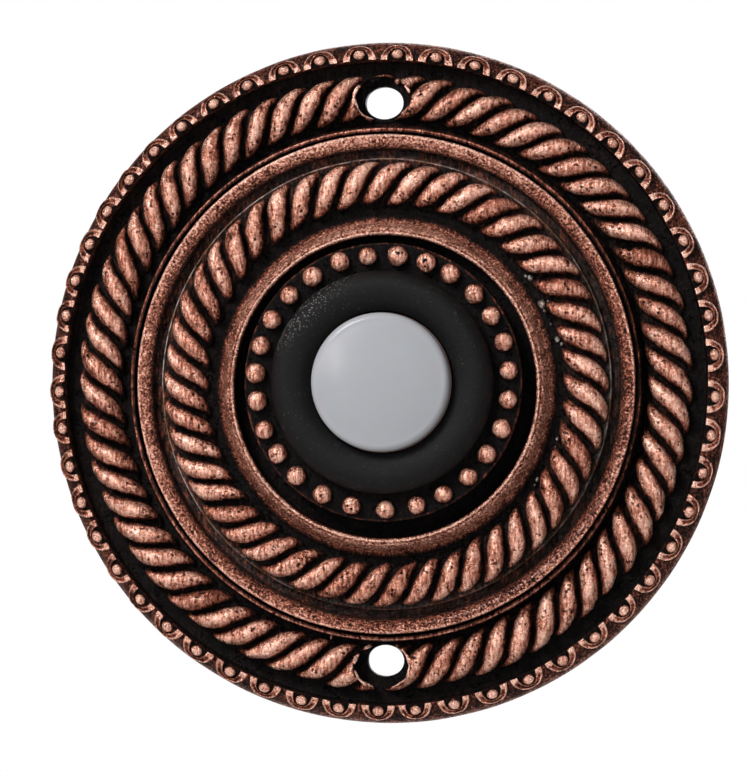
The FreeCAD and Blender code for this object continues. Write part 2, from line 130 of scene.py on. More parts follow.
# The same outwards, at the left and at the right
RIM_SHIFT = (0.22, -0.13)
CUP_BEAD_SHIFT = 0.20

# The same inwards: of the plate's edge at the left, and of the lip at its top, right, bottom and left
EDGE_SHAVE = 0.12
LIP_PULL = (0.27, 0.30, -0.08, -0.08)

# How much lighter or darker each form is made at its top, right, bottom and left, and how dusty the cove is
# there. On the band and the inner ring this is painted light and shade: lighter at the top, where the lamps
# fall, and on the band darker at the right and the bottom.
OUTER_ROPE_SIDE_TONE = (1.01, 0.99, 1.0, 0.92)
INNER_ROPE_SIDE_TONE = (1.02, 1.0, 0.88, 0.95)
LIP_SIDE_TONE = (0.92, 0.50, 1.12, 0.70)
CHANNEL_SIDE_TONE = (1.3, 0.3, 0.6, 1.0)
RING_PAINTED_LIGHT = (1.12, 1.0, 1.0, 1.0)
BAND_PAINTED_LIGHT = (1.20, 0.78, 0.85, 0.98)
COVE_SIDE_TONE = (1.25, 0.9, 1.1, 1.35)
COVE_DUST = (0.40, 0.34, 0.06, 0.62)

# Patterns laid by hand round a circle: how many items, the even angle of the first one, and the
# size and phase of the waves that run once, twice and three times round, all in degrees
CUP_PATTERN = (53, 3.64, ((1.35, 82), (0.18, 63)))
OUTER_ROPE_PATTERN = (63, 2.42, ((0.88, 139), (0.41, 116), (0.25, -45)))
INNER_ROPE_PATTERN = (47, -0.30, ((1.54, 33), (0.35, 7), (0.37, -79)))
BEZEL_PATTERN = (27, 6.26, ((1.45, 183), (0.95, -4), (0.51, -132)))

# Screw holes: filed a little out of round, in pockets that are wider than high
SCREW_OFFSET = 31.2
SCREW_HOLE_RAISE = 0.1
SCREW_POCKET_RADIUS = 3.15
SCREW_POCKET_SQUASH = 0.80
SCREW_POCKET_SHIFT = 0.42
SCREW_POCKET_ASIDE = -0.35
SCREW_POCKET_BURR = 0.20
SCREW_POCKET_CREST = 2.2
SCREW_BOSS_RADIUS = 3.8
SCREW_BOSS_HEIGHT = 1.2

# Each hole: height on the plate, shift to the right, radius, squash, and how far round its pocket's
# burr runs towards the rim
SCREW_HOLES = ((SCREW_OFFSET, -0.26, 2.13, 0.855, 0.60), (-SCREW_OFFSET, -0.11, 2.05, 0.86, 0.955))

# Drops of metal in the channel: radius, angle, half width, half reach and rise of each
CAST_DROPS = ((33.7, 0.037, 0.36, 0.36, 0.9), (29.0, FULL_TURN / 2 + 0.212, 0.14, 0.45, 1.75))

# Residue left in the rosette: right, up, size and height of each crumb
CRUMBS = ((17.4, 8.8, 0.52, 0.9), (18.1, 9.1, 0.20, 0.9), (17.7, 8.1, 0.20, 0.8),
          (18.4, 6.6, 0.15, 0.9), (19.1, 4.9, 0.36, 0.9), (19.6, 4.4, 0.24, 1.0),
          (19.1, -6.1, 0.24, 0.9), (18.9, -7.0, 0.13, 0.7), (16.9, -10.6, 0.26, 0.9),
          (16.6, -11.2, 0.13, 0.7), (16.1, 11.7, 0.34, 0.8), (15.6, 11.9, 0.22, 0.8))

# Blow holes of the castings: right, up and radius
BLOW_HOLES = ((27.15, 14.86, 0.34), (1.86, 14.19, 0.17), (4.87, 13.43, 0.15), (-3.32, -13.97, 0.15),
              (-3.75, -13.6, 0.13))

# Beads of the bezel
BEZEL_BEAD_RADIUS = 1.12
BEZEL_BEAD_RISE = 1.42

# Collar and barrel
COLLAR_TOP = 9.4
COLLAR_EASE = 1.9
COLLAR_MOUTH = 8.4
WEB_TOP = 4.0
WEB_UNDERSIDE = 2.8
STEM_HOLE_RADIUS = 2.1
LAMP_OFFSET = 4.99
LAMP_HOLE_RADIUS = 1.05
BARREL_END = -7.0
THREAD_PITCH = 1.0
THREAD_DEPTH = 0.22

# Cap and its stem
CAP_WALL = 1.2
CAP_CEILING = 9.2
CAP_FOOT = 5.9
CAP_FLANGE_RADIUS = 7.71
CAP_FLANGE_TOP = 8.34
CAP_SIDE_TOP = 9.5
CAP_EASE = 0.8
CAP_EASE_RISE = 0.85
CAP_CROWN = 0.85
STEM_RADIUS = 2.0
STEM_END = 2.75
STEM_BORE_RADIUS = 0.65
STEM_BORE_END = 5.3

# Return spring at rest, and the travel that squeezes it
SPRING_FOOT = 4.0
SPRING_LENGTH = 5.2
SPRING_RADIUS = 2.6
SPRING_WIRE = 0.25
SPRING_TURNS = 4

# Camera: the photograph is taken from a little to the right. The scale is in pixels a metre.
IMAGE_WIDTH = 747
IMAGE_HEIGHT = 772
CAMERA_DISTANCE = 0.380
CAMERA_TURN = math.radians(5.3)
CAMERA_RISE = math.radians(-0.5)
SCALE_AT_WALL = 8900
PLATE_CENTRE = (388.2, 382.7)


def polar(radius, angle, height):
    """Point or points at a radius and a clockwise angle from the top."""
    return np.stack(np.broadcast_arrays(radius * np.sin(angle), radius * np.cos(angle), height), axis=-1)


def fade(low, high, value):
    """Smooth step from 0 at the low value to 1 at the high one."""
    share = np.clip((value - low) / (high - low), 0, 1)
    return share * share * (3 - 2 * share)


def by_side(points, top, right, bottom, left):
    """Value of each point that changes smoothly from side to side of the plate."""
    angle = np.arctan2(points[:, 0], points[:, 1])
    upright = np.where(np.cos(angle) > 0, top, bottom)
    level = np.where(np.sin(angle) > 0, right, left)
    return upright * np.cos(angle) ** 2 + level * np.sin(angle) ** 2


def across(angle, left, right=0.0):
    """Value at an angle: 0 at the top and the bottom, growing to those given at the left and right."""
    return left * np.clip(-np.sin(angle), 0, 1) + right * np.clip(np.sin(angle), 0, 1)


def laid(pattern, slip, rng):
    """Angles of a hand-laid pattern: even steps with a slow drift and small slips."""
    count, first, waves = pattern
    even = math.radians(first) + np.arange(count) / count * FULL_TURN
    angles = even + math.radians(slip) * rng.standard_normal(count)
    for order, (amount, phase) in enumerate(waves, 1):
        angles += math.radians(amount) * np.sin(order * even - math.radians(phase))
    return angles


def uneven(points, amount, size, seed):
    """Points pushed about by smooth noise, as on a hand-finished casting."""
    shift = Vector((seed * 7.3, seed * 3.1, seed * 5.7))
    moved = points.copy()
    for index, point in enumerate(points):
        moved[index] += amount * np.array(noise.noise_vector(Vector(point) / size + shift))
    return moved


def grid_faces(rows, columns, wrap_rows=False, wrap_columns=False):
    """Quads of a grid whose points run row by row."""
    faces = []
    for row in range(rows if wrap_rows else rows - 1):
        below = (row + 1) % rows
        for column in range(columns if wrap_columns else columns - 1):
            beside = (column + 1) % columns
            faces.append((row * columns + column, row * columns + beside,
                          below * columns + beside, below * columns + column))
    return faces


class Shell:
    """Points and faces of one closed surface, with its wear (1 on a worn edge; on the band and the inner ring
    it also carries painted light and shade) and its dust.
    """

    def __init__(self, points, faces, wear_and_painted_light=0.0, dust=0.0):
        self.points = np.asarray(points, dtype=float)
        self.faces = faces
        self.wear_and_painted_light = np.broadcast_to(np.asarray(wear_and_painted_light, dtype=float), len(self.points))
        self.dust = np.full(len(self.points), dust)


def mesh_from(name, shells):
    """One object from shells."""
    points = np.concatenate([shell.points for shell in shells])
    faces = []
    start = 0
    for shell in shells:
        faces += [tuple(start + corner for corner in face) for face in shell.faces]
        start += len(shell.points)
    placed = np.stack([points[:, 0], -points[:, 2], points[:, 1]], axis=1) * MM
    mesh = bpy.data.meshes.new(name)
    mesh.from_pydata(placed.tolist(), [], faces)
    for name_of_layer in ("wear_and_painted_light", "dust"):
        values = np.concatenate([getattr(shell, name_of_layer) for shell in shells])
        layer = mesh.attributes.new(name_of_layer, "FLOAT", "POINT")
        layer.data.foreach_set("value", values.astype(np.float32))
    tidy = bmesh.new()
    tidy.from_mesh(mesh)
    bmesh.ops.remove_doubles(tidy, verts=tidy.verts, dist=1e-7)
    bmesh.ops.recalc_face_normals(tidy, faces=tidy.faces)
    tidy.to_mesh(mesh)
    tidy.free()
    thing = bpy.data.objects.new(name, mesh)
    bpy.context.scene.collection.objects.link(thing)
    return thing


def rounded(corners, fillet, steps=4):
    """Closed outline of (radius, height, wear) whose corners are eased."""
    outline = []
    count = len(corners)
    for index in range(count):
        corner = np.array(corners[index], dtype=float)
        before = np.array(corners[index - 1], dtype=float) - corner
        after = np.array(corners[(index + 1) % count], dtype=float) - corner
        run_before = np.linalg.norm(before[:2])
        run_after = np.linalg.norm(after[:2])
        reach = min(fillet, 0.45 * run_before, 0.45 * run_after)
        start = corner + before / run_before * reach
        end = corner + after / run_after * reach
        for step in range(steps + 1):
            t = step / steps
            outline.append((1 - t) ** 2 * start + 2 * t * (1 - t) * corner + t ** 2 * end)
    return np.array(outline)


def refined(outline, longest):
    """Closed outline with points added so that no side is longer than asked.

    Sides at or behind the floor level are hardly seen and may be 5 times as long.
    """
    points = []
    for index in range(len(outline)):
        start = outline[index]
        end = outline[(index + 1) % len(outline)]
        allowed = longest * (5 if start[1] <= FLOOR and end[1] <= FLOOR else 1)
        pieces = max(1, math.ceil(np.linalg.norm((end - start)[:2]) / allowed))
        for piece in range(pieces):
            points.append(start + (end - start) * piece / pieces)
    return np.array(points)


def turned(outline, columns, closed=True, aside=(0, 0)):
    """Shell of an outline of (radius, height, wear) turned about the axis, or about a parallel one."""
    angles = np.arange(columns) / columns * FULL_TURN
    points = np.concatenate([polar(radius, angles, height) for radius, height, _ in outline])
    points[:, 0] += aside[0]
    points[:, 1] += aside[1]
    wear_and_painted_light = np.repeat(np.asarray(outline)[:, 2], columns)
    return Shell(points, grid_faces(len(outline), columns, closed, True), wear_and_painted_light)


def cylinder(radius, aside, rear, front, squash=1.0, columns=72):
    """Cutter along the axis, round or squashed upright, closed by points on its own axis."""
    outline = ((0, rear, 0), (radius, rear, 0), (radius, front, 0), (0, front, 0))
    shell = turned(outline, columns, False)
    shell.points[:, 1] *= squash
    shell.points[:, :2] += aside
    return mesh_from("cutter", [shell])


def cut(thing, cutter, solver="EXACT"):
    """Takes the cutter out of the object and removes it."""
    modifier = thing.modifiers.new("cut", "BOOLEAN")
    modifier.operation = "DIFFERENCE"
    modifier.solver = solver
    modifier.object = cutter
    bpy.context.view_layer.objects.active = thing
    bpy.ops.object.modifier_apply(modifier=modifier.name)
    bpy.data.objects.remove(cutter, do_unlink=True)


def join(name, things):
    """One object from several."""
    bpy.ops.object.select_all(action="DESELECT")
    for thing in things:
        thing.select_set(True)
    bpy.context.view_layer.objects.active = things[0]
    bpy.ops.object.join()
    things[0].name = name
    things[0].data.name = name
    return things[0]


def smooth(thing, angle=40):
    """Smooth shading, with hard edges kept where the surface bends sharply."""
    for polygon in thing.data.polygons:
        polygon.use_smooth = True
    thing.data.set_sharp_from_angle(angle=math.radians(angle))


def per_strand(values):
    """A value of each strand given to all its columns, averaged in the groove between two strands."""
    spread = np.repeat(values, len(STRAND_SHARES)).reshape(-1, len(STRAND_SHARES))
    spread[:, 0] = (values + np.roll(values, 1)) / 2
    return spread.reshape(-1)


def rope(radius, half_width, rise, floor, groove, sweep, pattern, side_tone, rng):
    """Twisted rope as one sheet over a half-round core: each strand bulges between two grooves."""
    angles = laid(pattern, 0.12, rng)
    count = len(angles)
    turns = np.array([-FULL_TURN] + [0.0] * count + [FULL_TURN])
    ring = np.concatenate([angles[-1:], angles, angles[:1]]) + turns
    edges = (ring[:-1] + ring[1:]) / 2
    middle = (edges[:-1, None] + (STRAND_SHARES + 0.5) * np.diff(edges)[:, None]).reshape(-1)
    share = np.tile(STRAND_SHARES, count)
    turn = np.linspace(-math.pi / 2, math.pi / 2, ROPE_ROWS)[:, None]
    fullness = np.cos(turn)
    outward = np.sin(turn)
    width = 0.54 + 0.37 * fullness ** 0.8 + 0.04 * outward
    bulge = np.clip(1 - np.abs(2 * share / width) ** 2.2, 0, 1) ** 0.7
    reach = half_width * per_strand(1 + 0.02 * rng.standard_normal(count)) - 0.45 * (1 - bulge)
    out = radius + per_strand(0.05 * rng.standard_normal(count)) + reach * outward
    lift = rise * per_strand(1 + 0.035 * rng.standard_normal(count)) - groove * (1 - bulge)
    height = floor + lift * fullness ** 0.8
    twist = per_strand(sweep * (1 + 0.05 * rng.standard_normal(count)))
    around = middle + twist * turn / math.pi + math.radians(0.5) * (1 - fullness) ** 3 * np.sign(outward)
    lightness = per_strand(np.clip(1 + 0.10 * rng.standard_normal(count), 0.7, 1.1))
    ends = np.where(outward > 0, fade(0.0, 0.40, fullness), fade(0.15, 0.80, fullness))
    wear_and_painted_light = 0.15 + (lightness - 0.15) * fade(0.45, 0.32, np.abs(share) / width) * ends
    points = polar(out, around, height)
    root = points[[0, -1]].copy()
    root[:, :, 2] = floor - ROPE_ROOT
    points = np.concatenate([root[:1], points, root[1:]])
    wear_and_painted_light = np.concatenate([wear_and_painted_light[:1], wear_and_painted_light, wear_and_painted_light[-1:]])
    rows, columns = wear_and_painted_light.shape
    points = uneven(points.reshape(-1, 3), 0.11, 1.1, rng.uniform(0, 40))
    points = uneven(points, 0.05, 0.45, rng.uniform(0, 40))
    # Lighter or darker from side to side of the plate.
    wear_and_painted_light = wear_and_painted_light.reshape(-1) * by_side(points, *side_tone)
    return Shell(points, grid_faces(rows, columns, True, True), wear_and_painted_light)


def dome(circle_radius, angle, floor, half_width, half_reach, rise, rng, rows=9, columns=26, rub=1.1):
    """Cast bead: a domed body, slightly uneven, wider round the circle than outwards."""
    tilt = np.linspace(0, math.pi / 2, rows)
    levels = [(1.0, -0.5)] + [(math.cos(t) ** 0.85, rise * math.sin(t)) for t in tilt[:-1]] + [(0.0, rise)]
    turns = np.arange(columns) / columns * FULL_TURN
    rings = []
    wear_and_painted_light = []
    for share, height in levels:
        aside = half_width * share * np.sin(turns)
        outwards = circle_radius + half_reach * share * np.cos(turns)
        rings.append(polar(outwards, angle + aside / circle_radius, floor + height))
        wear_and_painted_light.append(np.full(columns, rub * fade(0.12, 0.72, height / rise)))
    points = uneven(np.concatenate(rings), 0.09 * half_width, 0.8 * half_width, rng.uniform(0, 40))
    points[-columns:] = points[-columns]
    faces = grid_faces(rows + 1, columns, wrap_columns=True)
    faces.append(tuple(range(columns - 1, -1, -1)))
    return Shell(points, faces, np.concatenate(wear_and_painted_light))


def rim_height(reach, lift):
    """Height of the rim's quarter-round, or of a level above it, outwards from its inner edge."""
    level = RIM_ROUND + lift
    return RIM_SPRING_HEIGHT + np.sqrt(np.maximum(level * level - reach * reach, 0))


def cup(angle, out, rng):
    """Horseshoe of the rim: a dished band with a raised outer line and flat arm ends."""
    turn = np.linspace(-math.pi / 2, math.pi / 2, CUP_ROWS)
    share, lift = np.array(CUP_PROFILE).T
    near_end = fade(0.45, 0.12, np.cos(turn))[:, None]
    flat_end = np.where(lift < 0, lift, np.maximum(lift, 0.9 * fade(0.0, 0.1, share)))
    raised = lift[None, :] * (1 - near_end) + flat_end[None, :] * near_end
    stretch = 1 + 0.03 * rng.standard_normal()
    spread = CUP_HALF_WIDTH * stretch - CUP_MOUTH_HALF_WIDTH
    half_width = (CUP_MOUTH_HALF_WIDTH + share * spread)[None, :]
    widest = CUP_REACH + CUP_SIDE_REACH * abs(math.sin(angle))
    full_reach = (CUP_MOUTH_REACH + share * (widest - CUP_MOUTH_REACH))[None, :]
    round_top = np.abs(np.cos(turn)[:, None]) ** 0.85
    reach = out + CUP_SETBACK + (full_reach - CUP_SETBACK) * round_top
    radius = RIM_INNER + reach
    aside = half_width * (np.sign(turn) * np.abs(np.sin(turn)) ** 0.85)[:, None] / radius
    height = rim_height(reach, CUP_RISE * raised)
    points = uneven(polar(radius, angle + aside, height).reshape(-1, 3), 0.05, 0.7, rng.uniform(0, 40))
    columns = len(CUP_PROFILE)
    faces = grid_faces(CUP_ROWS, columns, wrap_columns=True)
    faces.append(tuple(range(columns)))
    last = (CUP_ROWS - 1) * columns
    faces.append(tuple(range(last + columns - 1, last - 1, -1)))
    # Lighter on the raised outer line, darker towards the left of the plate and a little lighter towards the
    # right.
    lightness = (0.46 + 0.80 * fade(0.42, 0.86, raised)) * (1.03 + across(angle, -0.20, 0.06))
    lightness[:, share <= 0] = 0.0
    lightness[:, -1] = 0.0
    return Shell(points, faces, lightness.reshape(-1))


def crumb(right, up, floor, size, rise, rng):
    """Crumb of residue stuck in a corner."""
    shell = dome(math.hypot(right, up), math.atan2(right, up), floor, size, 0.8 * size, rise, rng, 6, 12)
    shell.points = uneven(shell.points, 0.35 * size, 0.6 * size, rng.uniform(0, 40))
    shell.dust = np.full(len(shell.points), 1.5)
    return shell


def pocket_burr(place, open_from, rng, steps=120, sides=8):
    """Raised burr along the edge of a screw pocket, where the rope was cut away."""
    along = np.arange(steps) / steps * FULL_TURN
    sideways = np.cos(along) * SCREW_POCKET_RADIUS
    upwards = np.sin(along) * SCREW_POCKET_RADIUS * SCREW_POCKET_SQUASH
    from_axis = np.hypot(place[0] + sideways, place[1] + upwards)
    from_crown = (from_axis - OUTER_ROPE) / OUTER_ROPE_HALF_WIDTH
    height = FLOOR + SCREW_POCKET_CREST * np.sqrt(np.clip(1 - from_crown ** 2, 0, 1))
    shift = rng.uniform(0, 40)
    thick = np.array([noise.noise(Vector((math.cos(t) * 2.2 + shift, math.sin(t) * 2.2, 0)))
                      for t in along])
    thick = SCREW_POCKET_BURR * np.clip(0.8 + 1.2 * thick, 0.2, 1.3)
    outward = np.sin(along) * np.sign(place[1])
    thick *= fade(open_from + 0.05, open_from - 0.05, outward) + 0.1
    points = []
    for side in range(sides):
        turn = FULL_TURN * side / sides
        out = 1 + thick * math.cos(turn) / SCREW_POCKET_RADIUS
        points.append(np.stack([place[0] + sideways * out, place[1] + upwards * out,
                                height + thick * math.sin(turn)], axis=1))
    wear_and_painted_light = np.tile(1.2 * fade(FLOOR + 0.2, FLOOR + 0.9, height) * fade(0.05, 0.13, thick), sides)
    return Shell(np.concatenate(points), grid_faces(sides, steps, True, True), wear_and_painted_light)


def plate_casting():
    """Base plate: rim with cups and beads, channel, outer rope, lip, back recess and holes."""
    bend = np.linspace(0, math.pi / 2, 12)
    rim = [(RIM_INNER + RIM_ROUND * math.cos(t), RIM_SPRING_HEIGHT + RIM_ROUND * math.sin(t),
            0.34 + 0.26 * fade(0.8, 0.2, t)) for t in bend]
    lip_top = FLOOR + LIP_RISE
    face = ((RIM_INNER - 0.15, FLOOR, 0.06), (LIP_OUTER + 0.3, FLOOR, 0.06),
            (LIP_OUTER + 0.1, FLOOR + 0.8, 0.28), (LIP_OUTER - 0.02, FLOOR + 1.33, 0.6),
            (LIP_OUTER - 0.12, lip_top, 0.95), (LIP_OUTER - 0.22, lip_top, 0.5),
            (LIP_INNER, lip_top, 0.35), (LIP_INNER, FLOOR, 0), (BARREL_HOLE, FLOOR, 0),
            (BARREL_HOLE, 0, 0), (RECESS_INNER, 0, 0.1), (RECESS_INNER, RECESS_DEPTH, 0),
            (RECESS_OUTER, RECESS_DEPTH, 0), (RECESS_OUTER, 0, 0.1), (PLATE_RADIUS, 0, 0.1))
    eased = rounded(rim[-1:] + list(face), FILLET)
    outline = refined(np.concatenate([np.array(rim[:-1]), eased]), 0.8)
    body = turned(outline, 400)
    radius = np.hypot(body.points[:, 0], body.points[:, 1])
    angle = np.arctan2(body.points[:, 0], body.points[:, 1])
    out = across(angle, *RIM_SHIFT) * fade(34.0, 35.5, radius) * fade(PLATE_RADIUS, 36.8, radius)
    out -= across(angle, EDGE_SHAVE) * fade(36.8, 37.8, radius)
    on_lip = (radius > LIP_INNER - 0.05) & (radius < LIP_OUTER + 0.25) & (body.points[:, 2] > FLOOR + 0.5)
    out -= np.where(on_lip, by_side(body.points, *LIP_PULL), 0.0)
    body.points[:, :2] *= (1 + out / radius)[:, None]
    # The lip and the channel are made lighter or darker from side to side of the plate.
    zones = (radius < LIP_OUTER + 0.2, radius < RIM_INNER)
    lightness = (by_side(body.points, *LIP_SIDE_TONE), by_side(body.points, *CHANNEL_SIDE_TONE))
    body.wear_and_painted_light = body.wear_and_painted_light * np.select(zones, lightness, 1.0)
    body.points = uneven(body.points, 0.035, 4.0, 2)
    plate = mesh_from("plate_body", [body])
    bosses = []
    for up, aside, radius, squash, _ in SCREW_HOLES:
        cut(plate, cylinder(radius, (aside, up + SCREW_HOLE_RAISE), -1.0, 6.0, squash))
        outline = ((radius, 0, 0.1), (SCREW_BOSS_RADIUS, 0, 0.1),
                   (SCREW_BOSS_RADIUS, SCREW_BOSS_HEIGHT, 0), (radius, SCREW_BOSS_HEIGHT, 0))
        bosses.append(turned(outline, 60, True, (aside, up + SCREW_HOLE_RAISE)))
    rng = np.random.default_rng(11)
    twisted = rope(OUTER_ROPE, OUTER_ROPE_HALF_WIDTH, OUTER_ROPE_RISE, FLOOR, OUTER_ROPE_GROOVE,
                   OUTER_ROPE_SWEEP, OUTER_ROPE_PATTERN, OUTER_ROPE_SIDE_TONE, rng)
    twisted.points[:, :2] += OUTER_ROPE_SHIFT
    carving = mesh_from("outer_rope", [twisted])
    burrs = []
    for up, _, _, _, open_from in SCREW_HOLES:
        place = (SCREW_POCKET_ASIDE, up + math.copysign(SCREW_POCKET_SHIFT, up))
        cut(carving, cylinder(SCREW_POCKET_RADIUS, place, 1.0, 6.0, SCREW_POCKET_SQUASH), "MANIFOLD")
        burrs.append(pocket_burr(place, open_from, rng))
    for radius, angle, half_width, half_reach, rise in CAST_DROPS:
        bosses.append(dome(radius, angle, FLOOR, half_width, half_reach, rise, rng, 7, 18))
    rng = np.random.default_rng(5)
    ornament = []
    bead_floor = float(rim_height(CUP_BEAD_REACH, 0)) - 0.1
    for angle in laid(CUP_PATTERN, 0.10, rng):
        ornament.append(cup(angle, across(angle, *RIM_SHIFT), rng))
        bead_circle = RIM_INNER + CUP_BEAD_REACH + across(angle, CUP_BEAD_SHIFT)
        ornament.append(dome(bead_circle, angle, bead_floor, CUP_BEAD_HALF_WIDTH, CUP_BEAD_HALF_REACH,
                             CUP_BEAD_RISE, rng, rows=7, columns=20, rub=1.25))
    return join("plate_casting", [plate, carving, mesh_from("ornament", ornament + bosses + burrs)])


def rosette_casting():
    """Rosette: sloping band, cove, inner rope, inner ring and the well of the bezel."""
    corners = ((ROSETTE_RADIUS, FLOOR, 0), (ROSETTE_RADIUS, 4.9, 0.5),
               (ROSETTE_RADIUS - 0.12, 5.17, 1.45), (ROSETTE_RADIUS - 0.38, 5.2, 0.70),
               (BAND_INNER + 0.7, 5.05, 0.68), (BAND_INNER + 0.2, 4.6, 0.48),
               (BAND_INNER, 4.1, 0.15), (BAND_INNER - 0.1, 3.2, 0.22), (COVE_INNER + 0.1, 3.2, 0.24),
               (COVE_INNER, ROPE_FLOOR + 0.15, 0.40), (COVE_INNER - 0.3, ROPE_FLOOR, 0.2),
               (RING_FOOT + 0.4, ROPE_FLOOR, 0), (RING_FOOT - 0.4, 4.35, 0.68),
               (RING_EDGE + 0.6, 5.87, 0.86), (RING_EDGE + 0.38, 6.05, 0.84),
               (RING_EDGE + 0.28, 6.13, 0.45), (RING_EDGE + 0.18, 6.2, 0.7),
               (RING_EDGE + 0.05, 6.28, 1.6), (WELL_RADIUS, 6.0, 0.5),
               (WELL_RADIUS, BEZEL_SEAT, 0), (BARREL_HOLE, BEZEL_SEAT, 0), (BARREL_HOLE, FLOOR, 0))
    body = turned(refined(rounded(corners, FILLET), 0.5), 400)
    radius = np.hypot(body.points[:, 0], body.points[:, 1])
    cove_line = (np.abs(radius - COVE_INNER) < 0.1) & (body.points[:, 2] > ROPE_FLOOR - 0.1)
    body.dust = np.where(cove_line, by_side(body.points, *COVE_DUST), 0.0)
    # Lighter or darker from side to side: on the inner ring and the band this is painted light and shade,
    # lighter at the top where the lamps fall; the cove only varies from side to side.
    zones = (radius < INNER_ROPE, radius < BAND_INNER)
    lightness = (by_side(body.points, *RING_PAINTED_LIGHT), by_side(body.points, *COVE_SIDE_TONE))
    body.wear_and_painted_light = body.wear_and_painted_light * np.select(zones, lightness, by_side(body.points, *BAND_PAINTED_LIGHT))
    body.points = uneven(body.points, 0.035, 3.0, 3)
    inside = fade(19.8, 18.9, radius) * fade(15.2, 16.3, radius)
    body.points[:, 0] += inside * RING_SHIFT[0]
    body.points[:, 1] += inside * RING_SHIFT[1]
    rng = np.random.default_rng(12)
    twisted = rope(INNER_ROPE, INNER_ROPE_HALF_WIDTH, INNER_ROPE_RISE, ROPE_FLOOR, INNER_ROPE_GROOVE,
                   INNER_ROPE_SWEEP, INNER_ROPE_PATTERN, INNER_ROPE_SIDE_TONE, rng)
    shells = [body, twisted]
    for right, up, size, rise in CRUMBS:
        shells.append(crumb(right, up, ROPE_FLOOR, size, rise, rng))
    for shell in shells:
        shell.points[:, :2] += ROSETTE_SHIFT
    return mesh_from("rosette_casting", shells)


def bezel_casting():
    """Bead bezel round the collar."""
    corners = ((BEZEL_RADIUS, BEZEL_SEAT, 0), (BEZEL_RADIUS, COLLAR_SEAT - 0.12, 0.34),
               (BEZEL_RADIUS - 0.12, COLLAR_SEAT, 0.30), (BEZEL_RADIUS - 0.3, COLLAR_SEAT, 0),
               (BARREL_HOLE, COLLAR_SEAT, 0), (BARREL_HOLE, BEZEL_SEAT, 0))
    body = turned(refined(rounded(corners, 0.1), 0.45), 300)
    body.points = uneven(body.points, 0.03, 2.0, 4)
    rng = np.random.default_rng(21)
    shells = [body]
    for angle in laid(BEZEL_PATTERN, 0.35, rng):
        radius = BEZEL_BEAD_RADIUS + 0.04 * math.cos(angle + math.pi / 4) + 0.03 * rng.standard_normal()
        shells.append(dome(BEAD_CIRCLE + 0.04 * rng.standard_normal(), angle, COLLAR_SEAT, radius, radius,
                           BEZEL_BEAD_RISE, rng, rows=12, columns=32, rub=1.0))
    return mesh_from("bezel_casting", shells)


def collar_and_barrel():
    """Moulded collar, and the barrel with its thread behind it."""
    outline = [(COLLAR_RADIUS, COLLAR_SEAT)]
    run = COLLAR_RADIUS - COLLAR_CREST
    for t in np.linspace(0, math.pi / 2, 14):
        outline.append((COLLAR_CREST + run * math.cos(t),
                        COLLAR_TOP - COLLAR_EASE + COLLAR_EASE * math.sin(t)))
    run = COLLAR_CREST - BORE_RADIUS
    drop = COLLAR_TOP - COLLAR_MOUTH
    arc_radius = (run ** 2 + drop ** 2) / (2 * drop)
    for step in range(1, 13):
        inwards = run * step / 12
        outline.append((COLLAR_CREST - inwards,
                        COLLAR_TOP - arc_radius + math.sqrt(arc_radius ** 2 - inwards ** 2)))
    outline += [(BORE_RADIUS, COLLAR_MOUTH - 0.15), (BORE_RADIUS, 6.2), (BORE_RADIUS, WEB_TOP),
                (STEM_HOLE_RADIUS, WEB_TOP), (STEM_HOLE_RADIUS, WEB_UNDERSIDE),
                (BORE_RADIUS, WEB_UNDERSIDE), (BORE_RADIUS, BARREL_END)]
    outline += [(BARREL_RADIUS, height) for height in np.arange(BARREL_END, -0.01, 0.125)]
    outline += [(BARREL_RADIUS, 0.0), (BARREL_RADIUS, 3.0), (BARREL_RADIUS, COLLAR_SEAT)]
    columns = 192
    shell = turned([(radius, height, 0) for radius, height in outline], columns)
    grid = shell.points.reshape(len(outline), columns, 3)
    for row, (radius, height) in enumerate(outline):
        if radius == BARREL_RADIUS and BARREL_END < height < -0.3:
            phase = (height / THREAD_PITCH + np.arange(columns) / columns) % 1.0
            depth = THREAD_DEPTH * np.abs(2 * phase - 1)
            grid[row, :, :2] *= ((radius - depth) / radius)[:, None]
    to_upper_left = (shell.points[:, 1] - shell.points[:, 0]) / math.sqrt(2) / COLLAR_RADIUS
    above_seat = fade(COLLAR_SEAT + 0.2, COLLAR_SEAT + 1.0, shell.points[:, 2])
    shell.dust = 0.8 * fade(0.76, 0.97, to_upper_left) * above_seat
    housing = mesh_from("collar_and_barrel", [shell])
    cut(housing, cylinder(LAMP_HOLE_RADIUS, (0, LAMP_OFFSET), WEB_UNDERSIDE - 0.5, WEB_TOP + 0.5))
    return housing


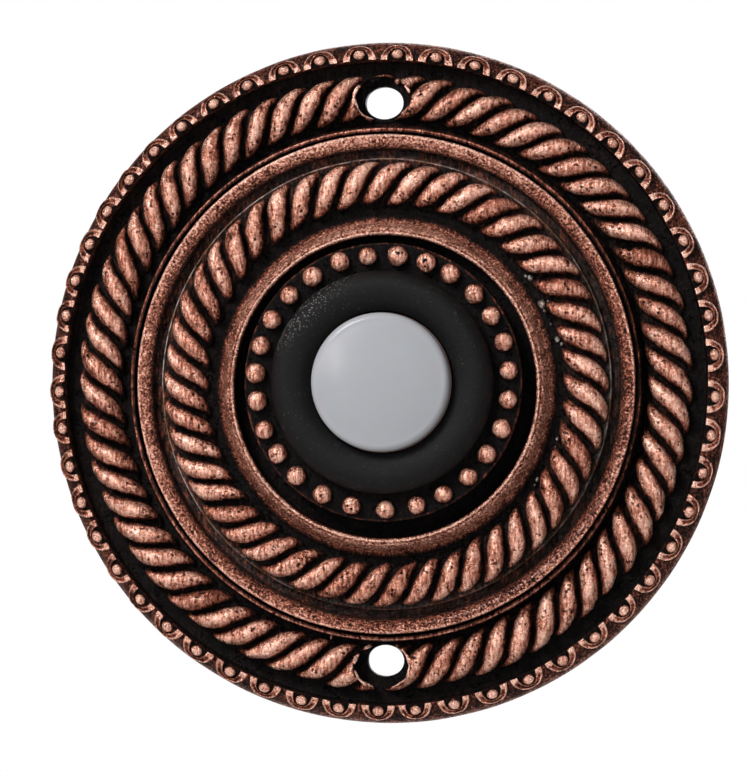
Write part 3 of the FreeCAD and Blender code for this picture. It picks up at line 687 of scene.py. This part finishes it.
def button_cap():
    """Translucent cap with its low dome, skirt and stem."""
    shoulder_radius = CAP_RADIUS - CAP_EASE
    top = CAP_SIDE_TOP + CAP_EASE_RISE + CAP_CROWN
    dome_radius = (shoulder_radius ** 2 + CAP_CROWN ** 2) / (2 * CAP_CROWN)
    inside = CAP_RADIUS - CAP_WALL
    outline = [(0, STEM_BORE_END), (STEM_BORE_RADIUS, STEM_BORE_END), (STEM_BORE_RADIUS, STEM_END),
               (STEM_RADIUS, STEM_END), (STEM_RADIUS, CAP_CEILING), (inside, CAP_CEILING),
               (inside, CAP_FOOT), (CAP_RADIUS, CAP_FOOT), (CAP_RADIUS, 7.2), (CAP_FLANGE_RADIUS, 7.3),
               (CAP_FLANGE_RADIUS, CAP_FLANGE_TOP - 0.1), (CAP_FLANGE_RADIUS - 0.08, CAP_FLANGE_TOP),
               (CAP_RADIUS, CAP_FLANGE_TOP + 0.06), (CAP_RADIUS, CAP_SIDE_TOP)]
    for t in np.linspace(0, math.pi / 2, 10)[1:]:
        outline.append((shoulder_radius + CAP_EASE * math.cos(t), CAP_SIDE_TOP + CAP_EASE_RISE * math.sin(t)))
    for radius in np.linspace(shoulder_radius, 0, 24)[1:]:
        outline.append((radius, top - dome_radius + math.sqrt(dome_radius ** 2 - radius ** 2)))
    shell = turned([(radius, height, 0) for radius, height in outline], 160, False)
    flange = np.hypot(shell.points[:, 0], shell.points[:, 1]) > CAP_RADIUS + 0.01
    shell.points[flange, :2] += CAP_FLANGE_SHIFT
    return mesh_from("button_cap", [shell])


def spring_coil():
    """Return spring between the web and the cap."""
    steps, sides = 32 * SPRING_TURNS, 10
    share = np.arange(steps + 1)[:, None] / steps
    turn = np.arange(sides)[None, :] / sides * FULL_TURN
    climb = (SPRING_LENGTH - 2 * SPRING_WIRE) * share
    height = SPRING_FOOT + SPRING_WIRE + climb + SPRING_WIRE * np.sin(turn)
    points = polar(SPRING_RADIUS + SPRING_WIRE * np.cos(turn), FULL_TURN * SPRING_TURNS * share, height)
    faces = grid_faces(steps + 1, sides, wrap_columns=True)
    faces += [tuple(range(sides)), tuple(range(steps * sides, (steps + 1) * sides))]
    return mesh_from("spring_coil", [Shell(points.reshape(-1, 3), faces)])


class Finish:
    """Procedural material: a Principled shader and short calls that add nodes to it."""

    def __init__(self, name, fixed):
        self.material = bpy.data.materials.new(name)
        self.material.use_nodes = True
        self.tree = self.material.node_tree
        self.shader = self.tree.nodes["Principled BSDF"]
        for socket, value in fixed.items():
            self.shader.inputs[socket].default_value = value
        place = self.node("ShaderNodeTexCoord")
        self.place = self.node("ShaderNodeVectorMath", {0: place.outputs["Object"], "Scale": 1 / MM},
                               operation="SCALE").outputs["Vector"]
        self.normal = None

    def node(self, kind, inputs=None, **settings):
        """New node with its settings; an input is a value or another node's output."""
        node = self.tree.nodes.new(kind)
        for key, value in settings.items():
            setattr(node, key, value)
        for socket, value in (inputs or {}).items():
            if isinstance(value, bpy.types.NodeSocket):
                self.tree.links.new(value, node.inputs[socket])
            else:
                node.inputs[socket].default_value = value
        return node

    def math(self, operation, first, second=0.0, third=0.0):
        """Result of one Math node; MULTIPLY_ADD is first * second + third."""
        inputs = {0: first, 1: second, 2: third}
        return self.node("ShaderNodeMath", inputs, operation=operation).outputs[0]

    def between(self, value, low, high):
        """0 below the low value, 1 above the high one, smooth between."""
        inputs = {"Value": value, "From Min": low, "From Max": high}
        return self.node("ShaderNodeMapRange", inputs, interpolation_type="SMOOTHSTEP").outputs["Result"]

    def noise(self, scale, detail=3.0, roughness=0.5, vector=None):
        """Fractal noise with that many cells a millimetre."""
        inputs = {"Vector": vector or self.place, "Scale": scale, "Detail": detail, "Roughness": roughness}
        return self.node("ShaderNodeTexNoise", inputs).outputs["Fac"]

    def cells(self, scale):
        """Distance to the middle of the nearest Voronoi cell, with that many cells a millimetre."""
        inputs = {"Vector": self.place, "Scale": scale}
        return self.node("ShaderNodeTexVoronoi", inputs).outputs["Distance"]

    def stretched(self, right, forward, up):
        """Coordinates stretched unevenly, for brushed or drawn surfaces."""
        inputs = {0: self.place, 1: (right, forward, up)}
        return self.node("ShaderNodeVectorMath", inputs, operation="MULTIPLY").outputs["Vector"]

    def stored(self, name):
        """A value stored on the mesh's points."""
        return self.node("ShaderNodeAttribute", attribute_name=name).outputs["Fac"]

    def radius(self):
        """Distance from the axis in millimetres."""
        flat = self.stretched(1, 0, 1)
        return self.node("ShaderNodeVectorMath", {0: flat}, operation="LENGTH").outputs["Value"]

    def height(self):
        """Distance in front of the wall in millimetres."""
        return self.math("MULTIPLY", self.node("ShaderNodeSeparateXYZ", {0: self.place}).outputs["Y"], -1.0)

    def spots(self, places):
        """1 in round spots given by their place to the right, place upwards and radius."""
        flat = self.stretched(1, 0, 1)
        inside = None
        for right, up, size in places:
            away = self.node("ShaderNodeVectorMath", {0: flat, 1: (right, 0, up)}, operation="DISTANCE")
            spot = self.between(away.outputs["Value"], size * 1.15, size * 0.85)
            inside = self.math("MAXIMUM", inside, spot) if inside else spot
        return inside

    def zone(self, value, low, high, blur=0.15):
        """1 between the two values, 0 outside."""
        inside = self.between(value, low - blur, low + blur)
        return self.math("MULTIPLY", inside, self.between(value, high + blur, high - blur))

    def ramp(self, factor, stops):
        """Colours along a factor."""
        node = self.node("ShaderNodeValToRGB", {"Fac": factor})
        elements = node.color_ramp.elements
        while len(elements) < len(stops):
            elements.new(0.5)
        for element, (position, colour) in zip(elements, stops):
            element.position = position
            element.color = (*colour, 1)
        return node.outputs["Color"]

    def mix(self, factor, first, second):
        """Two colours mixed."""
        inputs = {0: factor, 6: first, 7: second}
        return self.node("ShaderNodeMix", inputs, data_type="RGBA").outputs[2]

    def bump(self, height, distance, strength=1.0):
        """Adds a relief of that depth in millimetres."""
        inputs = {"Height": height, "Distance": distance * MM, "Strength": strength}
        if self.normal:
            inputs["Normal"] = self.normal
        self.normal = self.node("ShaderNodeBump", inputs).outputs["Normal"]
        self.tree.links.new(self.normal, self.shader.inputs["Normal"])

    def drive(self, socket, value):
        """Links an output to the shader."""
        self.tree.links.new(value, self.shader.inputs[socket])


def aged_copper():
    """Copper plate with black patina in the recesses, worn bright on what stands out."""
    finish = Finish("aged_copper", {"IOR": 1.5, "Coat Roughness": 0.24})
    radius = finish.radius()
    sanded = finish.math("ADD", finish.zone(radius, 26.0, 27.9), finish.zone(radius, 16.5, 19.0))
    sanded = finish.math("ADD", sanded, finish.math("MULTIPLY", finish.between(radius, 35.8, 36.0), 0.7))
    patches = finish.math("SUBTRACT", finish.noise(0.5, 4.0, 0.6), 0.5)
    grain = finish.math("SUBTRACT", finish.noise(3.0, 4.0, 0.8), 0.5)
    strokes = finish.math("SUBTRACT", finish.noise(1.0, 4.0, 0.7, finish.stretched(3.6, 1.0, 0.8)), 0.5)
    inner_ends = finish.math("ADD", finish.zone(radius, 28.9, 31.1, 0.5),
                             finish.zone(radius, 19.4, 21.6, 0.5))
    pitted = finish.math("MULTIPLY_ADD", inner_ends, 0.16, finish.noise(0.9, 1.0))
    ragged = finish.math("MULTIPLY_ADD", grain, 1.3, finish.cells(1.9))
    pits = finish.between(ragged, 0.38, 0.20)
    pits = finish.math("MULTIPLY", pits, finish.between(pitted, 0.56, 0.64))
    pits = finish.math("MULTIPLY", pits, finish.math("MULTIPLY_ADD", sanded, -0.9, 1.0))
    pits = finish.math("MAXIMUM", pits, finish.math("MULTIPLY", finish.spots(BLOW_HOLES), 2.4))
    from_crack = finish.math("ABSOLUTE", finish.math("SUBTRACT", finish.noise(1.3, 2.0, 0.6), 0.5))
    cracked = finish.between(finish.noise(0.7, 1.0, 0.5, finish.stretched(1.0, 1.0, 1.3)), 0.50, 0.60)
    cracks = finish.math("MULTIPLY", finish.between(from_crack, 0.016, 0.004), cracked)
    sand = finish.math("SUBTRACT", finish.noise(4.4, 2.0, 0.6), 0.5)
    grain_share = finish.math("MULTIPLY_ADD", sanded, -0.6, 1.0)
    stroke_share = finish.math("MULTIPLY_ADD", sanded, -2.0, 2.6)
    uneven_wear = finish.math("MULTIPLY", patches, 1.1)
    uneven_wear = finish.math("MULTIPLY_ADD", grain_share, grain, uneven_wear)
    uneven_wear = finish.math("MULTIPLY_ADD", finish.math("MULTIPLY", sanded, 3.3), sand, uneven_wear)
    uneven_wear = finish.math("MULTIPLY_ADD", stroke_share, strokes, uneven_wear)
    uneven_wear = finish.math("MULTIPLY_ADD", pits, -0.52, uneven_wear)
    uneven_wear = finish.math("MULTIPLY_ADD", cracks, -0.40, uneven_wear)
    # The stored value marks worn spots, and on the band and the inner ring it also carries painted light and
    # shade.
    wear_and_painted_light = finish.stored("wear_and_painted_light")
    share = finish.math("MULTIPLY_ADD", finish.math("MINIMUM", wear_and_painted_light, 1.0), 0.65, 0.25)
    level = finish.math("MULTIPLY_ADD", share, uneven_wear, finish.math("MULTIPLY", wear_and_painted_light, 0.80))
    colour = finish.ramp(level, ((0.0, (0.0030, 0.0022, 0.0022)), (0.16, (0.0105, 0.0065, 0.0060)),
                                 (0.25, (0.026, 0.011, 0.008)), (0.35, (0.090, 0.023, 0.014)),
                                 (0.47, (0.22, 0.060, 0.032)), (0.64, (0.46, 0.165, 0.104)),
                                 (0.82, (0.74, 0.350, 0.245)), (1.0, (0.92, 0.54, 0.42))))
    cove = finish.math("MULTIPLY_ADD", finish.zone(radius, 24.95, 25.1, 0.12), 0.12,
                       finish.math("MULTIPLY", finish.zone(radius, 24.6, 26.3, 0.3), 0.035))
    cove_dust = finish.math("MULTIPLY", cove, finish.between(finish.noise(2.6, 4.0, 0.7), 0.40, 0.62))
    cove_dust = finish.math("MULTIPLY", cove_dust, finish.between(finish.height(), 2.2, 2.8))
    broken = finish.between(finish.noise(1.1, 3.0, 0.7), 0.38, 0.58)
    broken = finish.math("MULTIPLY_ADD", broken, 0.75, 0.25)
    dust = finish.math("MAXIMUM", finish.math("MULTIPLY", finish.stored("dust"), broken), cove_dust)
    pale = finish.between(finish.noise(0.35, 1.0), 0.42, 0.58)
    residue = finish.mix(pale, (0.20, 0.17, 0.10, 1), (0.55, 0.53, 0.50, 1))
    colour = finish.mix(dust, colour, residue)
    finish.drive("Base Color", colour)
    copper = finish.between(level, 0.32, 0.60)
    finish.drive("Metallic", finish.math("MULTIPLY", copper, 0.72))
    finish.drive("Coat Weight", finish.math("MULTIPLY", copper, 0.40))
    finish.drive("Specular IOR Level", finish.math("MULTIPLY_ADD", copper, 0.35, 0.05))
    polish = finish.between(finish.noise(2.4, 4.0), 0.35, 0.65)
    finish.drive("Roughness", finish.math("MULTIPLY_ADD", polish, -0.24, 0.41))
    finish.bump(finish.noise(1.9, 5.0, 0.7), 0.20)
    finish.bump(finish.math("MULTIPLY", grain, finish.math("MULTIPLY_ADD", sanded, 1.4, 1.1)), 0.09)
    finish.bump(finish.math("ADD", pits, finish.math("MULTIPLY", cracks, 0.4)), -0.10)
    return finish.material


def black_moulding():
    """Matt black plastic with a little dust."""
    finish = Finish("black_moulding", {"Roughness": 0.52, "Specular IOR Level": 0.14})
    dust_here = finish.math("MULTIPLY", finish.between(finish.noise(1.9, 1.0), 0.54, 0.70), 0.14)
    dust_here = finish.math("MAXIMUM", dust_here, finish.stored("dust"))
    dust = finish.math("MULTIPLY", finish.between(finish.cells(3.6), 0.36, 0.14), dust_here)
    finish.drive("Base Color", finish.mix(dust, (0.0042, 0.0038, 0.0040, 1), (0.26, 0.25, 0.24, 1)))
    finish.bump(finish.noise(4.0, 4.0, 0.8), 0.09)
    return finish.material


def white_cap():
    """Translucent grey-white plastic."""
    finish = Finish("white_cap", {"Roughness": 0.22, "Specular IOR Level": 0.22,
                                   "Subsurface Weight": 0.3, "Subsurface Scale": 0.002})
    colour = finish.mix(finish.noise(0.25, 2.0), (0.303, 0.308, 0.328, 1), (0.319, 0.324, 0.343, 1))
    # Below the flange top the cap is painted dark brown: painted shade and a painted reflection of the
    # copper, showing at the lower right past the shifted flange.
    colour = finish.mix(finish.between(finish.height(), 8.6, 8.45), colour, (0.22, 0.145, 0.125, 1))
    finish.drive("Base Color", colour)
    finish.bump(finish.noise(0.8, 2.0), 0.01)
    return finish.material


def plain_metal(name, colour, roughness):
    """Small turned or stamped metal part with fine tool marks."""
    finish = Finish(name, {"Metallic": 1.0})
    marks = finish.noise(2.0, 4.0, 0.6, finish.stretched(0.4, 6.0, 0.4))
    dull = tuple(0.7 * share for share in colour)
    finish.drive("Base Color", finish.mix(marks, (*dull, 1), (*colour, 1)))
    finish.drive("Roughness", finish.math("MULTIPLY_ADD", marks, 0.2, roughness))
    finish.bump(marks, 0.01)
    return finish.material


def moulded(name, colour, roughness):
    """Plain moulded part with a fine skin."""
    finish = Finish(name, {"Roughness": roughness})
    dark = tuple(0.8 * share for share in colour)
    finish.drive("Base Color", finish.mix(finish.noise(0.7, 3.0), (*dark, 1), (*colour, 1)))
    finish.bump(finish.noise(8.0, 3.0), 0.008)
    return finish.material


def dress(node, material):
    """Gives a shown CAD node a procedural material."""
    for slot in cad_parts[node].material_slots:
        slot.link = "OBJECT"
        slot.material = material


def add_casting(thing, body, node, material):
    """Finishes a piece: material, shading and body, and hides the CAD node that it stands for."""
    thing.data.materials.clear()
    thing.data.materials.append(material)
    smooth(thing)
    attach(thing, body)
    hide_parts(node)


COPPER = aged_copper()
MOULDING = black_moulding()
add_casting(plate_casting(), "plate", "base_plate", COPPER)
add_casting(rosette_casting(), "plate", "rosette", COPPER)
add_casting(bezel_casting(), "plate", "bead_bezel", COPPER)
add_casting(collar_and_barrel(), "plate", "switch_housing", MOULDING)
add_casting(button_cap(), "button", "push_button", white_cap())

BRASS = plain_metal("contact_metal", (0.75, 0.52, 0.22), 0.28)
STEEL = plain_metal("plated_steel", (0.60, 0.59, 0.57), 0.30)
COIL = spring_coil()
add_casting(COIL, "plate", "return_spring", STEEL)
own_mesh(COIL)
for node in ("contact_disc", "contact_strip_left", "contact_strip_right", "contact_rivet_left",
             "contact_rivet_right"):
    dress(node, BRASS)
for node in ("disc_screw", "terminal_washer_left", "terminal_washer_right",
             "terminal_screw_left", "terminal_screw_right", "lock_washer", "retaining_nut"):
    dress(node, STEEL)
dress("terminal_base", MOULDING)
dress("lamp", moulded("lamp_lens", (0.75, 0.70, 0.55), 0.12))
dress("lamp_resistor", moulded("insulator", (0.45, 0.32, 0.18), 0.5))


def add_area(name, place, size, power, target=(0, 0, 0)):
    """Softbox that looks at the target."""
    data = bpy.data.lights.new(name, "AREA")
    data.shape = "RECTANGLE"
    data.size = size[0]
    data.size_y = size[1]
    data.energy = power
    light = bpy.data.objects.new(name, data)
    light.location = place
    light.rotation_euler = (Vector(target) - Vector(place)).to_track_quat("-Z", "Y").to_euler()
    bpy.context.scene.collection.objects.link(light)


def add_floor():
    """Plain pale floor well below the part."""
    mesh = bpy.data.meshes.new("floor")
    width, depth, drop = 0.45, 0.30, -0.12
    corners = ((-width, -depth, drop), (width, -depth, drop), (width, depth, drop), (-width, depth, drop))
    mesh.from_pydata(corners, [], [(0, 1, 2, 3)])
    floor = bpy.data.objects.new("floor", mesh)
    finish = Finish("floor", {"Roughness": 0.8})
    colour = finish.mix(finish.noise(0.02, 3.0), (0.80, 0.80, 0.79, 1), (0.84, 0.84, 0.83, 1))
    finish.drive("Base Color", colour)
    mesh.materials.append(finish.material)
    bpy.context.scene.collection.objects.link(floor)


def add_world():
    """White surroundings: full white behind the part, dimmer as a light."""
    world = bpy.data.worlds.new("studio")
    world.use_nodes = True
    tree = world.node_tree
    background = tree.nodes["Background"]
    background.inputs["Color"].default_value = (1, 1, 1, 1)
    rays = tree.nodes.new("ShaderNodeLightPath")
    strength = tree.nodes.new("ShaderNodeMapRange")
    strength.inputs["To Min"].default_value = 0.12
    strength.inputs["To Max"].default_value = 1.0
    tree.links.new(rays.outputs["Is Camera Ray"], strength.inputs["Value"])
    tree.links.new(strength.outputs["Result"], background.inputs["Strength"])
    bpy.context.scene.world = world


def add_camera():
    """Camera that looks at the plate's centre, shifted to where the photograph has it."""
    data = bpy.data.cameras.new("camera")
    data.sensor_width = 36
    data.lens = SCALE_AT_WALL * CAMERA_DISTANCE * data.sensor_width / IMAGE_HEIGHT
    data.shift_x = (IMAGE_WIDTH / 2 - PLATE_CENTRE[0]) / IMAGE_HEIGHT
    data.shift_y = (PLATE_CENTRE[1] - IMAGE_HEIGHT / 2) / IMAGE_HEIGHT
    camera = bpy.data.objects.new("camera", data)
    towards = Vector((math.sin(CAMERA_TURN) * math.cos(CAMERA_RISE),
                      -math.cos(CAMERA_TURN) * math.cos(CAMERA_RISE), math.sin(CAMERA_RISE)))
    place = towards * CAMERA_DISTANCE
    camera.location = place
    camera.rotation_euler = (-place).to_track_quat("-Z", "Y").to_euler()
    bpy.context.scene.collection.objects.link(camera)
    bpy.context.scene.camera = camera


add_floor()
add_world()
add_area("key", (-0.22, -0.34, 0.30), (0.18, 0.18), 2.8)
add_area("fill", (0.34, -0.26, 0.05), (0.20, 0.30), 0.3)
add_area("left_strip", (-0.270, -0.525, 0.125), (0.05, 0.16), 0.45)
add_area("front", (0.0, -0.60, 0.04), (0.50, 0.50), 0.45)
add_area("rear", (0.10, 0.50, 0.20), (0.40, 0.40), 1.0)
add_camera()
bpy.context.scene.view_settings.view_transform = "Standard"
